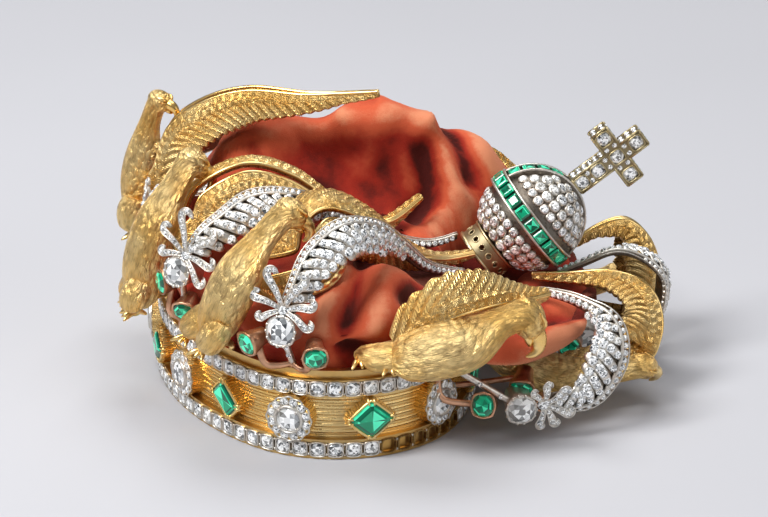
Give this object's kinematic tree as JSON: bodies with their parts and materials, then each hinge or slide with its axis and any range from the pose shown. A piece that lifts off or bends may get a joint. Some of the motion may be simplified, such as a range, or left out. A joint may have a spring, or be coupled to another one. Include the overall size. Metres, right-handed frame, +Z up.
{
  "type": "arched crown",
  "caption": "Closed crown folded over to one side: oval jewelled band, eagle and palmette arches, velvet cap, and a globe with a cross.",
  "frame": {"origin": "middle of the oval band, on the floor that the band rests on", "axes": "+Z up, +X towards the side that the arches have folded over to, +Y away from the long side of the cap that shows in front"},
  "size_m": [0.1654, 0.1499, 0.0864],
  "materials": {
    "gold": "chased gold, worn bright on high places, brown in the hollows",
    "old_silver": "tarnished silver over copper-red gold",
    "white_stone": "cut white stone",
    "green_stone": "step-cut green stone",
    "velvet": "worn red velvet with pale creases"
  },
  "bodies": {
    "root": {"band": "gold", "rail_stones_upper": "white_stone", "rail_stones_lower": "white_stone", "cluster_diamond_1": "white_stone", "cluster_diamond_2": "white_stone", "cluster_diamond_3": "white_stone", "cluster_diamond_4": "white_stone", "cluster_diamond_5": "white_stone", "cluster_diamond_6": "white_stone", "cluster_diamond_7": "white_stone", "cluster_diamond_8": "white_stone", "band_emerald_1": "green_stone", "band_emerald_2": "green_stone", "band_emerald_3": "green_stone", "band_emerald_4": "green_stone", "band_emerald_5": "green_stone", "band_emerald_6": "green_stone", "band_emerald_7": "green_stone", "band_emerald_8": "green_stone", "eagle_1": "gold", "eagle_2": "gold", "eagle_3": "gold", "eagle_4": "gold", "eagle_5": "gold", "eagle_6": "gold", "eagle_7": "gold", "palmette_1": "old_silver", "palmette_2": "old_silver", "palmette_3": "old_silver", "palmette_4": "old_silver", "palmette_5": "old_silver", "palmette_6": "old_silver", "palmette_7": "old_silver", "palmette_8": "old_silver", "palmette_diamond_1": "white_stone", "palmette_diamond_2": "white_stone", "palmette_diamond_3": "white_stone", "palmette_diamond_4": "white_stone", "palmette_diamond_5": "white_stone", "palmette_diamond_6": "white_stone", "palmette_diamond_7": "white_stone", "palmette_diamond_8": "white_stone", "palmette_emeralds_1": "green_stone", "palmette_emeralds_2": "green_stone", "palmette_emeralds_3": "green_stone", "palmette_emeralds_4": "green_stone", "palmette_emeralds_5": "green_stone", "palmette_emeralds_6": "green_stone", "palmette_emeralds_7": "green_stone", "palmette_emeralds_8": "green_stone", "velvet_cap": "velvet", "collar": "gold", "globe": "old_silver", "globe_emeralds": "green_stone", "cross": "gold", "cross_stones": "white_stone"}
  },
  "joints": []
}
